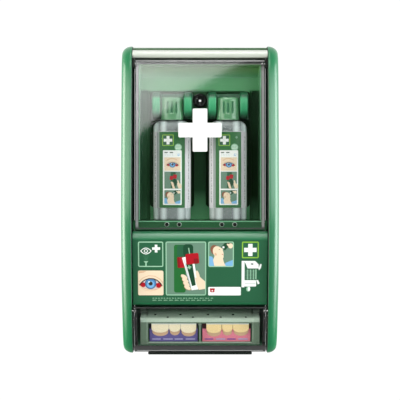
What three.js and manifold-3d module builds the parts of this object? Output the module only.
// A wall-hung eyewash station, in millimetres: two 0.5 litre bottles held by their caps behind a clear
// lift-up cover, an instruction panel, and a plaster dispenser behind a second clear cover.
// Frame: the origin is the middle of the wall face, +X to the right, +Z up, and the wall is behind at +Y.
// Side outlines are drawn as (out, up), where out is the distance from the wall, so y = -out.

import * as THREE from "three";
import { mergeVertices } from "three/addons/utils/BufferGeometryUtils.js";
import Module from "manifold-3d";

const wasm = await Module();
wasm.setup();

// ---- Driving dimensions ----
const WALL = 2.5; // moulded wall thickness
const GAP = 0.3; // clearance between touching pieces
const HALF_WIDTH = 145;
const BOW_WIDTH = 19; // one side bow, across
const BOW_ROUND = 14; // radius of a bow's outer edge
const BOW_INNER = HALF_WIDTH - BOW_WIDTH;
const PLATE = { half: 125.5, thick: 3, low: -284, high: 283 };
const ROOF = { high: 285.5, front: 66, lip: 4.2 };
const RAIL = { back: 40, front: 88, high: 280, low: 264.3 };
const SLOPE_RUN = { top: [90, 260], foot: [104, -54] }; // the upper cover's front face
const UPPER_PIVOT = [84, 253];
const UPPER_HALF = 119.5;
const LOWER_PIVOT = [87, -206];
const LOWER_HALF = 123.5;
const SHELF = { top: -38, thick: 3, front: 86, foot: -56, half: 124.7 };
const BAY = { half: 115.5, back: 11.5, high: 257, rim: 72, footRim: 85.5 };
const PAD = { half: 100, front: 18.5, high: 234.5, archLow: 208 };
const POCKET = { near: 11.5, far: 95.5, low: -13.5, high: 208, round: 7 };
const PANEL = { half: 124.7, high: -57.5, low: -195.5, top: [112, -72], foot: [88.5, -190.5] };
const LABEL = { width: 245, height: 117, thick: 0.4 };
const BOTTLE = {
  x: 52.6,
  out: 55,
  width: 70,
  deep: 46,
  foot: SHELF.top + GAP,
  top: 149,
  wall: 1.2,
  footRound: 5,
  shoulder: 15,
};
const CAP = { radius: 21.3, low: 150, height: 42 };
const NECK = { radius: 14, bore: 11.2, top: 166 };
const BOTTLE_LABEL = { low: -15, high: 128, thick: 0.3 };
const HOLDER = { low: 153, high: 203, half: 40, earNear: 22, earFar: 37, front: 80 };
const HANG_HOLE = { z: 190, radius: 2.5, seat: 5 };
const FOOT_HOLE_Z = -240;
const DISPENSER = { half: 111.6, back: 4, high: -206, edge: [74, -220], foot: [60, -271], ledge: 42 };
const WINDOW = { near: 3.5, far: 96, high: -231, low: -266 };
const PEEP_HOLE = { radius: 1.2, pitch: 23.6, firstLeft: -84, firstRight: 15 };
const STRIP = { width: 27, length: 28, thick: 1, pitch: 27.8, top: -223 };
const PIN_RADIUS = 1.8;
const PIN_HOLE_RADIUS = 2.3;
const CROSS = { span: 80, arm: 27, round: 2, z: 129.5, thick: 0.4 };
const PULL = { half: 98, out: 44, thick: 8, low: -291.5, high: -286.3 };

// ---- Materials ----
const finish = (color, roughness, metalness = 0) =>
  new THREE.MeshStandardMaterial({ color, roughness, metalness });
const green = finish(0x2e8b57, 0.25);
const clear = finish(0xdfe8e4, 0.08);
const black = finish(0x111412, 0.4);
const steel = finish(0xc4c6c8, 0.3, 1);
const white = finish(0xf6f6f2, 0.45);
const water = finish(0xe4f0f2, 0.05);
const housing = finish(0x7d9484, 0.45);
const pale = finish(0xe6e8e0, 0.15);
const labelGreen = finish(0x2b6244, 0.5);
const smoke = finish(0x363936, 0.3);
const cardBlue = finish(0x5a5582, 0.7);
const cardPink = finish(0xd2708a, 0.7);
const plaster = finish(0xecd3a6, 0.85);

// ---- Solids ----
function toSolid(geometry) {
  const bare = geometry.clone();
  bare.deleteAttribute("normal");
  bare.deleteAttribute("uv");
  const merged = mergeVertices(bare);
  const triVerts = new Uint32Array(merged.index.array);
  const build = () =>
    new wasm.Manifold(new wasm.Mesh({ numProp: 3, vertProperties: merged.attributes.position.array, triVerts }));
  const made = build();
  if (made.volume() > 0) return made;
  triVerts.reverse();
  return build();
}

function toGeometry(solid) {
  const mesh = solid.getMesh();
  const geometry = new THREE.BufferGeometry();
  geometry.setAttribute("position", new THREE.BufferAttribute(mesh.vertProperties, 3));
  geometry.setIndex(new THREE.BufferAttribute(mesh.triVerts, 1));
  geometry.computeVertexNormals();
  return geometry;
}

const AXIS = { x: new THREE.Vector3(1, 0, 0), y: new THREE.Vector3(0, 1, 0), z: new THREE.Vector3(0, 0, 1) };
const ACROSS = new THREE.Matrix4().makeBasis(AXIS.y.clone().negate(), AXIS.z, AXIS.x.clone().negate());
const OUTWARD = new THREE.Matrix4().makeBasis(AXIS.x, AXIS.z, AXIS.y.clone().negate());

// An outline in (out, up), extruded from x = left to x = right.
function across(points, left, right, bevel = { bevelEnabled: false }) {
  const shape = new THREE.Shape(points.map(([out, up]) => new THREE.Vector2(out, up)));
  const geometry = new THREE.ExtrudeGeometry(shape, { depth: right - left, ...bevel });
  return toSolid(geometry.applyMatrix4(ACROSS).translate(right, 0, 0));
}

// A shape drawn as seen from the front, in (x, z), extruded out of the wall.
function outward(shape, from, to, curveSegments = 3) {
  const geometry = new THREE.ExtrudeGeometry(shape, { depth: to - from, bevelEnabled: false, curveSegments });
  return toSolid(geometry.applyMatrix4(OUTWARD).translate(0, -from, 0));
}

// A block from its limits in x, out and z.
function block(left, right, from, to, low, high) {
  const box = new THREE.BoxGeometry(right - left, to - from, high - low);
  return toSolid(box.translate((left + right) / 2, -(from + to) / 2, (low + high) / 2));
}

// A profile of [radius, height] turned round an axis that points along x, out of the wall or up.
function turned(profile, towards, segments) {
  const points = profile.map(([r, h]) => new THREE.Vector2(r, h));
  const geometry = new THREE.LatheGeometry(points, segments);
  if (towards === "up") geometry.rotateX(Math.PI / 2);
  if (towards === "out") geometry.rotateX(Math.PI);
  if (towards === "x") geometry.rotateZ(-Math.PI / 2);
  return toSolid(geometry);
}

const rod = (radius, length, towards, segments = 12) =>
  turned([[0, 0], [radius, 0], [radius, length], [0, length]], towards, segments);

function roundedRect(left, low, right, high, r) {
  const shape = new THREE.Shape();
  shape.moveTo(left + r, low);
  shape.absarc(right - r, low + r, r, -Math.PI / 2, 0);
  shape.absarc(right - r, high - r, r, 0, Math.PI / 2);
  shape.absarc(left + r, high - r, r, Math.PI / 2, Math.PI);
  shape.absarc(left + r, low + r, r, Math.PI, Math.PI * 1.5);
  return shape;
}

// A curve's points as [out, up] pairs, from a function that draws it on a THREE.Path.
function traced(draw, divisions) {
  const path = new THREE.Path();
  draw(path);
  return path.getPoints(divisions).map((p) => [p.x, p.y]);
}

const lerp = THREE.MathUtils.lerp;
const inverseLerp = THREE.MathUtils.inverseLerp;

// ---- Body: wall plate, side bows, top rail, bay, shelf and front panel ----
function wallPlate() {
  const { half, thick, low, high } = PLATE;
  const hole = rod(HANG_HOLE.radius, thick + 2, "out", 12);
  return block(-half, half, 0, thick, low, high)
    .subtract(hole.translate([0, 1, HANG_HOLE.z]))
    .subtract(hole.translate([0, 1, FOOT_HOLE_Z]));
}

// The bow's side outline, carried on behind the wall so that only its front edges are rounded.
function bowOutline() {
  return traced((path) => {
    path.moveTo(-30, 291);
    path.lineTo(45, 290);
    path.bezierCurveTo(80, 289, 92, 272, 98, 245);
    path.bezierCurveTo(106, 200, 120, 70, 120, -25);
    path.bezierCurveTo(120, -85, 98, -180, 80, -250);
    path.bezierCurveTo(75, -268, 64, -289, 40, -289);
    path.lineTo(-30, -289);
  }, 6);
}

function bowForm(inset, innerFace) {
  const round = BOW_ROUND - inset;
  const start = HALF_WIDTH - BOW_ROUND;
  const bevel = {
    bevelEnabled: true,
    bevelThickness: round,
    bevelSize: round,
    bevelOffset: -round - inset,
    bevelSegments: 4,
  };
  const whole = across(bowOutline(), start - 20, start, bevel);
  return whole.intersect(block(innerFace, HALF_WIDTH + 1, inset ? -5 : 0, 140, -300, 300));
}

function sideBow() {
  const pinHole = rod(PIN_HOLE_RADIUS, 6, "x");
  return bowForm(0, BOW_INNER)
    .subtract(bowForm(WALL, BOW_INNER + WALL))
    .subtract(pinHole.translate([BOW_INNER - 1, -UPPER_PIVOT[0], UPPER_PIVOT[1]]))
    .subtract(pinHole.translate([BOW_INNER - 1, -LOWER_PIVOT[0], LOWER_PIVOT[1]]));
}

// The green roof plate, with a lip along its front edge.
function roofPanel() {
  const half = BOW_INNER - GAP;
  const { high, front, lip } = ROOF;
  const back = PLATE.thick + GAP;
  const outline = [
    [back, high - WALL],
    [back, high],
    [front, high],
    [front, high - lip],
    [front - WALL, high - lip],
    [front - WALL, high - WALL],
  ];
  return across(outline, -half, half);
}

function railOutline(inset, back) {
  const { front, high, low } = RAIL;
  return traced((path) => {
    path.moveTo(back, high - inset);
    path.lineTo(front - 14, high - inset);
    path.bezierCurveTo(front - 6, high - inset, front - inset, high - 4, front - inset, high - 10);
    path.lineTo(front - 2.5 - inset, low + inset);
    path.lineTo(back, low + inset);
  }, 7);
}

// The pale half-round rail in front of the roof, above the upper cover.
function topRail() {
  const half = BOW_INNER - GAP;
  const { back } = RAIL;
  return across(railOutline(0, back), -half, half).subtract(across(railOutline(WALL, back - 3), -half - 1, half + 1));
}

function bayLiner() {
  const { half, back, high, rim, footRim } = BAY;
  const foot = SHELF.top + GAP;
  const pad = block(-PAD.half, PAD.half, back + 1, PAD.front, foot, PAD.high);
  const arch = block(-half + 1, half - 1, back + 1, PAD.front, PAD.archLow, PAD.high);
  const floorOut = back + WALL;
  const pocket = (left, right) =>
    outward(roundedRect(left, POCKET.low, right, POCKET.high, POCKET.round), floorOut, PAD.front + 1);
  return across([[back, foot], [footRim, foot], [rim, high], [back, high]], -half, half)
    .subtract(block(-half + WALL, half - WALL, floorOut, 100, foot - 1, high - WALL))
    .add(pad)
    .add(arch)
    .subtract(pocket(POCKET.near, POCKET.far))
    .subtract(pocket(-POCKET.far, -POCKET.near))
    .subtract(rod(HANG_HOLE.seat, 12, "out").translate([0, -back + 1, HANG_HOLE.z]));
}

function bottleShelf() {
  const { top, thick, front, foot, half } = SHELF;
  const outline = [
    [BAY.back, top - thick],
    [BAY.back, top],
    [front, top],
    [front, foot],
    [front - WALL, foot],
    [front - WALL, top - thick],
  ];
  return across(outline, -half, half);
}

function panelOutline(inset, back) {
  const { high, low, top, foot } = PANEL;
  return traced((path) => {
    path.moveTo(back, high - inset);
    path.lineTo(93, high - inset);
    path.bezierCurveTo(105, high - inset, top[0] - inset, -63, top[0] - inset, top[1]);
    path.lineTo(foot[0] - inset, foot[1]);
    path.lineTo(foot[0] - 5 - inset / 2, low + inset);
    path.lineTo(back, low + inset);
  }, 6);
}

function frontPanel() {
  const { half } = PANEL;
  const back = PLATE.thick + GAP;
  return across(panelOutline(0, back), -half, half).subtract(across(panelOutline(WALL, 0), -half - 1, half + 1));
}

// The black cup behind the cross: its flange sits on the bay's pad and its tube guides the wall screw.
function hangingGrommet() {
  const back = PLATE.thick + GAP;
  const face = PAD.front + GAP;
  const bore = HANG_HOLE.radius;
  const tube = HANG_HOLE.seat - 0.4;
  const profile = [
    [bore, back],
    [tube, back],
    [tube, face],
    [13.5, face],
    [13.5, face + 2],
    [11.8, face + 4],
    [9.5, face + 4],
    [bore, face + 1],
    [bore, back],
  ];
  return turned(profile, "out", 18).translate([0, 0, HANG_HOLE.z]);
}

// ---- Cap holders: a base plate and two ears that grip the sides of a cap ----
function earOutline() {
  const { low, high, front } = HOLDER;
  const base = BAY.back + WALL + GAP;
  return traced((path) => {
    path.moveTo(base, high);
    path.lineTo(front - 16, high);
    path.bezierCurveTo(front - 6, high, front, high - 8, front, high - 18);
    path.bezierCurveTo(front, low + 16, front - 6, low, front - 26, low);
    path.lineTo(base, low);
  }, 4);
}

function capHolder() {
  const { low, high, half, earNear, earFar } = HOLDER;
  const base = BAY.back + WALL + GAP;
  const screwHole = rod(1.7, 8, "out").translate([0, -base + 1, 0]);
  return block(-half, half, base, base + 4, low, high)
    .add(across(earOutline(), earNear, earFar))
    .add(across(earOutline(), -earFar, -earNear))
    .subtract(screwHole.translate([0, 0, low + 8]))
    .subtract(screwHole.translate([0, 0, high - 16]));
}

const holderScrew = () =>
  turned([[0, -3.5], [1.3, -3.5], [1.3, 0], [3.6, 0], [3.4, 1.6], [1.8, 2.4], [0, 2.5]], "out", 10);

// ---- Bottles ----
const OVAL_STEPS = 28;
const OVAL_STEP = (Math.PI * 2) / OVAL_STEPS;
const squared = (v) => Math.sign(v) * Math.abs(v) ** (2 / 2.8);

// A squared oval, 2a across x and 2b across y.
function ovalShape(a, b) {
  const points = [];
  for (let i = 0; i < OVAL_STEPS; i++) {
    const t = i * OVAL_STEP;
    points.push(new THREE.Vector2(a * squared(Math.cos(t)), b * squared(Math.sin(t))));
  }
  return new THREE.Shape(points);
}

// An upright oval block with rounded edges, turned as a circle and then pressed to the squared oval.
function ovalBlock(inset, low, high, footRound, shoulderRound) {
  const [a, b] = [BOTTLE.width / 2 - inset, BOTTLE.deep / 2 - inset];
  const edges = traced((path) => {
    path.absarc(a - footRound, low + footRound, footRound, -Math.PI / 2, 0);
    path.absarc(a - shoulderRound, high - shoulderRound, shoulderRound, 0, Math.PI / 2);
  }, 3);
  const profile = [[0, low], ...edges, [0, high]].map(([r, h]) => new THREE.Vector2(r, h));
  const geometry = new THREE.LatheGeometry(profile, OVAL_STEPS);
  geometry.rotateX(Math.PI / 2);
  const place = geometry.attributes.position;
  for (let i = 0; i < place.count; i++) {
    const share = Math.hypot(place.getX(i), place.getY(i)) / a;
    const angle = Math.round(Math.atan2(place.getY(i), place.getX(i)) / OVAL_STEP) * OVAL_STEP;
    place.setXY(i, share * a * squared(Math.cos(angle)), share * b * squared(Math.sin(angle)));
  }
  return toSolid(geometry);
}

function bottleBody() {
  const { wall, foot, top, footRound, shoulder } = BOTTLE;
  const neck = rod(NECK.radius, NECK.top - top + 6, "up", 20).translate([0, 0, top - 6]);
  const cavity = ovalBlock(wall, foot + wall, top - wall, footRound - wall, shoulder - wall);
  const bore = rod(NECK.bore, NECK.top - top + 12, "up", 20).translate([0, 0, top - 8]);
  return ovalBlock(0, foot, top, footRound, shoulder).add(neck).subtract(cavity).subtract(bore);
}

const SALINE_LEVEL = 132;
const saline = () => {
  const inset = BOTTLE.wall + GAP;
  const { foot, top, footRound, shoulder } = BOTTLE;
  const whole = ovalBlock(inset, foot + inset, top - inset, footRound - inset, shoulder - inset);
  return whole.intersect(block(-50, 50, -50, 50, -100, SALINE_LEVEL));
};

function bottleLabel() {
  const { low, high, thick } = BOTTLE_LABEL;
  const sleeve = (inset, from, to) => {
    const shape = ovalShape(BOTTLE.width / 2 - inset, BOTTLE.deep / 2 - inset);
    const geometry = new THREE.ExtrudeGeometry(shape, { depth: to - from, bevelEnabled: false });
    return toSolid(geometry.translate(0, 0, from));
  };
  return sleeve(-GAP - thick, low, high).subtract(sleeve(-GAP, low - 1, high + 1));
}

function cap() {
  const { radius, low, height } = CAP;
  const inner = radius - 2.8;
  const profile = [
    [0, height - WALL],
    [inner, height - WALL],
    [inner, 0],
    [radius, 0],
    [radius, 11],
    [radius - 0.5, height - 3],
    [radius - 2.5, height],
    [0, height],
  ];
  return turned(profile, "up", 24).translate([0, 0, low]);
}

// The eye cup that stands on the neck, inside the cap.
function eyeCup() {
  const foot = NECK.top + GAP;
  const profile = [[3, 0], [12, 0], [12, 3], [9, 6], [16.5, 20], [15, 20], [7.5, 7], [3, 4], [3, 0]];
  return turned(profile, "up", 18).translate([0, 0, foot]);
}

// ---- Upper cover ----
function coverOutline(inset, back) {
  const [topOut, topUp] = SLOPE_RUN.top;
  const [footOut, footUp] = SLOPE_RUN.foot;
  return [
    [back[0], topUp - inset],
    [topOut - 2 - inset, topUp - inset],
    [topOut - inset, topUp - 3 - inset],
    [footOut - inset, footUp + 3 + inset],
    [footOut - 2 - inset, footUp + inset],
    [back[1], footUp + inset],
  ];
}

function upperCover() {
  const pinHole = rod(PIN_HOLE_RADIUS, 2 * UPPER_HALF + 2, "x");
  return across(coverOutline(0, [76, 87.5]), -UPPER_HALF, UPPER_HALF)
    .subtract(across(coverOutline(WALL, [60, 60]), -UPPER_HALF + WALL, UPPER_HALF - WALL))
    .subtract(pinHole.translate([-UPPER_HALF - 1, -UPPER_PIVOT[0], UPPER_PIVOT[1]]));
}

function crossShape() {
  const a = CROSS.span / 2;
  const b = CROSS.arm / 2;
  const r = CROSS.round;
  const shape = new THREE.Shape();
  const quarter = Math.PI / 2;
  shape.moveTo(b, b);
  for (let i = 0; i < 4; i++) {
    const turn = (x, y) => new THREE.Vector2(x, y).rotateAround(new THREE.Vector2(), i * quarter);
    const corner = (x, y, angle) => {
      const c = turn(x, y);
      shape.absarc(c.x, c.y, r, angle + i * quarter, angle + quarter + i * quarter);
    };
    corner(b - r, a - r, 0);
    corner(-b + r, a - r, quarter);
    shape.lineTo(turn(-b, b).x, turn(-b, b).y);
  }
  return shape;
}

const cross = () => outward(crossShape(), 0, CROSS.thick, 2);

const hingeBush = () =>
  block(UPPER_HALF + 1.2, BOW_INNER - GAP, 76, 91, 245, 261).subtract(
    rod(PIN_HOLE_RADIUS, 8, "x").translate([UPPER_HALF, -UPPER_PIVOT[0], UPPER_PIVOT[1]]),
  );

// A pin with a flat head inside the cover, running out into the side bow.
function hingePin(coverHalf, pivot) {
  const inner = coverHalf - WALL - GAP;
  const length = BOW_INNER + WALL - inner + 1;
  const profile = [[0, -1.5], [3, -1.5], [3, 0], [PIN_RADIUS, 0], [PIN_RADIUS, length], [0, length]];
  return turned(profile, "x", 12).translate([inner, -pivot[0], pivot[1]]);
}

// ---- Lower cover ----
function lowerCoverOutline(inset, backPoints) {
  const front = traced((path) => {
    path.moveTo(93 - inset, -199 - inset);
    path.lineTo(95 - inset, -201 - inset);
    path.bezierCurveTo(94 - inset, -236, 80 - inset, -268 + inset, 52 - inset / 2, -286 + inset);
  }, 10);
  return [...front, ...backPoints];
}

function lowerCover() {
  const back = [[22, -286], [22, -272], [50, -246], [70, -218], [74, -199]];
  const hollow = [[0, -286 + WALL], [0, -199 - WALL]];
  const pinHole = rod(PIN_HOLE_RADIUS, 2 * LOWER_HALF + 2, "x");
  return across(lowerCoverOutline(0, back), -LOWER_HALF, LOWER_HALF)
    .subtract(across(lowerCoverOutline(WALL, hollow), -LOWER_HALF + WALL, LOWER_HALF - WALL))
    .subtract(pinHole.translate([-LOWER_HALF - 1, -LOWER_PIVOT[0], LOWER_PIVOT[1]]));
}

const pullStrip = () =>
  outward(roundedRect(-PULL.half, PULL.low, PULL.half, PULL.high, 2), PULL.out, PULL.out + PULL.thick, 2);

// ---- Plaster dispenser ----
function dispenserOutline(inset, back) {
  const { high, edge, foot, ledge } = DISPENSER;
  return [
    [back, high - inset],
    [ledge - inset / 3, high - inset],
    [edge[0] - 3 - inset, edge[1] + 1.5 - inset],
    [edge[0] - inset, edge[1] - 2 - inset],
    [foot[0] - inset, foot[1] + inset],
    [back, foot[1] + inset],
  ];
}

// The eight small holes along the sloping top, four over each refill, alternately high and low.
function peepHoles() {
  const slope = Math.atan2(DISPENSER.high - DISPENSER.edge[1], DISPENSER.edge[0] - DISPENSER.ledge);
  const drill = rod(PEEP_HOLE.radius, 16, "up", 8);
  const holes = [];
  for (const first of [PEEP_HOLE.firstLeft, PEEP_HOLE.firstRight]) {
    for (let i = 0; i < 4; i++) {
      const along = i % 2 ? 0.82 : 0.58;
      const out = lerp(DISPENSER.ledge, DISPENSER.edge[0], along);
      const up = lerp(DISPENSER.high, DISPENSER.edge[1], along);
      const tilted = drill.translate([0, 0, -8]).rotate([(slope * 180) / Math.PI, 0, 0]);
      holes.push(tilted.translate([first + i * PEEP_HOLE.pitch, -out, up]));
    }
  }
  return holes;
}

function dispenserHousing() {
  const { half, back } = DISPENSER;
  const { near, far, low, high } = WINDOW;
  const shell = across(dispenserOutline(0, back), -half, half)
    .subtract(across(dispenserOutline(WALL, back - 2), -half + WALL, half - WALL))
    .subtract(block(near, far, 50, 90, low, high))
    .subtract(block(-far, -near, 50, 90, low, high));
  return peepHoles().reduce((body, hole) => body.subtract(hole), shell);
}

// How far out the inner side of the dispenser's sloping front lies at a height.
function frontInner(up) {
  const { edge, foot } = DISPENSER;
  return lerp(edge[0], foot[0], inverseLerp(edge[1] - 2, foot[1], up)) - WALL - 0.2;
}

function refill() {
  const [high, low] = [-225, -267.5];
  const setBack = 2.6;
  const outline = [[8, high], [frontInner(high) - setBack, high], [frontInner(low) - setBack, low], [8, low]];
  return across(outline, WINDOW.near + 1, WINDOW.far - 1);
}

function plasterStrip() {
  const r = STRIP.width / 2;
  const shape = new THREE.Shape();
  shape.moveTo(-r, 0);
  shape.lineTo(-r, -STRIP.length + r * 0.7);
  shape.absellipse(0, -STRIP.length + r * 0.7, r, r * 0.7, Math.PI, Math.PI * 2);
  shape.lineTo(r, 0);
  return outward(shape, 0, STRIP.thick, 8);
}

// ---- Assembly ----
const station = new THREE.Group();

function add(parent, name, solid, material) {
  const mesh = new THREE.Mesh(toGeometry(solid), material);
  mesh.name = name;
  parent.add(mesh);
  return mesh;
}

// The same piece on both sides; the left one is mirrored.
function addPair(parent, name, solid, material) {
  add(parent, `right_${name}`, solid, material);
  add(parent, `left_${name}`, solid, material).scale.x = -1;
}

add(station, "wall_plate", wallPlate(), green);
addPair(station, "side_bow", sideBow(), green);
add(station, "roof_panel", roofPanel(), green);
add(station, "top_rail", topRail(), pale);
add(station, "bay_liner", bayLiner(), green);
add(station, "bottle_shelf", bottleShelf(), green);
add(station, "front_panel", frontPanel(), green);
add(station, "hanging_grommet", hangingGrommet(), black);
addPair(station, "upper_hinge_bush", hingeBush(), black);
addPair(station, "upper_hinge_pin", hingePin(UPPER_HALF, UPPER_PIVOT), steel);
addPair(station, "lower_hinge_pin", hingePin(LOWER_HALF, LOWER_PIVOT), steel);

const panelLean = Math.atan2(PANEL.top[0] - PANEL.foot[0], PANEL.top[1] - PANEL.foot[1]);
const labelGroup = new THREE.Group();
labelGroup.position.set(0, -(PANEL.top[0] + PANEL.foot[0]) / 2, (PANEL.top[1] + PANEL.foot[1]) / 2);
labelGroup.rotation.x = panelLean;
const labelBlock = block(-LABEL.width / 2, LABEL.width / 2, GAP, GAP + LABEL.thick, -LABEL.height / 2, LABEL.height / 2);
add(labelGroup, "instruction_label", labelBlock, labelGreen);
station.add(labelGroup);

const bumper = turned([[0, 0], [4, 0], [4, 1], [3, 2.6], [1.5, 3.2], [0, 3.3]], "out", 10);
[-BOTTLE.x - 9, -BOTTLE.x + 14, BOTTLE.x - 12, BOTTLE.x + 12].forEach((x, i) => {
  add(station, `cover_bumper_${i + 1}`, bumper, black).position.set(x, -SHELF.front - GAP, -45.5);
});

for (const [side, sign] of [["left", -1], ["right", 1]]) {
  const seat = new THREE.Group();
  seat.position.set(sign * BOTTLE.x, 0, 0);
  station.add(seat);
  add(seat, `${side}_cap_holder`, capHolder(), green);
  [HOLDER.low + 8, HOLDER.high - 16].forEach((z, i) => {
    const screw = add(seat, `${side}_holder_screw_${i + 1}`, holderScrew(), steel);
    screw.position.set(0, -(BAY.back + WALL + 2 * GAP + 4), z);
  });
  const bottle = new THREE.Group();
  bottle.position.y = -BOTTLE.out;
  seat.add(bottle);
  add(bottle, `${side}_bottle`, bottleBody(), clear);
  add(bottle, `${side}_saline`, saline(), water);
  add(bottle, `${side}_bottle_label`, bottleLabel(), labelGreen);
  add(bottle, `${side}_eye_cup`, eyeCup(), white);
  add(bottle, `${side}_cap`, cap(), green);
}

add(station, "upper_cover", upperCover(), clear);
const crossGroup = new THREE.Group();
const [slopeTop, slopeFoot] = [SLOPE_RUN.top, SLOPE_RUN.foot];
const crossOut = lerp(slopeTop[0], slopeFoot[0], inverseLerp(slopeTop[1] - 3, slopeFoot[1] + 3, CROSS.z));
crossGroup.position.set(0, -crossOut - GAP, CROSS.z);
crossGroup.rotation.x = -Math.atan2(slopeFoot[0] - slopeTop[0], slopeTop[1] - slopeFoot[1] - 6);
add(crossGroup, "cover_cross", cross(), white);
station.add(crossGroup);

add(station, "lower_cover", lowerCover(), clear);
add(station, "lower_cover_pull", pullStrip(), smoke);

add(station, "dispenser_housing", dispenserHousing(), housing);
const refillMesh = add(station, "left_refill", refill(), cardBlue);
refillMesh.scale.x = -1;
add(station, "right_refill", refill(), cardPink);

const frontLean = Math.atan2(DISPENSER.edge[0] - DISPENSER.foot[0], DISPENSER.edge[1] - 2 - DISPENSER.foot[1]);
for (const [side, middle] of [["left", -47], ["right", 52]]) {
  for (let i = 0; i < 3; i++) {
    const strip = add(station, `${side}_plaster_${i + 1}`, plasterStrip(), plaster);
    strip.position.set(middle + (i - 1) * STRIP.pitch, -(frontInner(STRIP.top) - STRIP.thick - 1), STRIP.top);
    strip.rotation.x = frontLean;
  }
}

export default station;
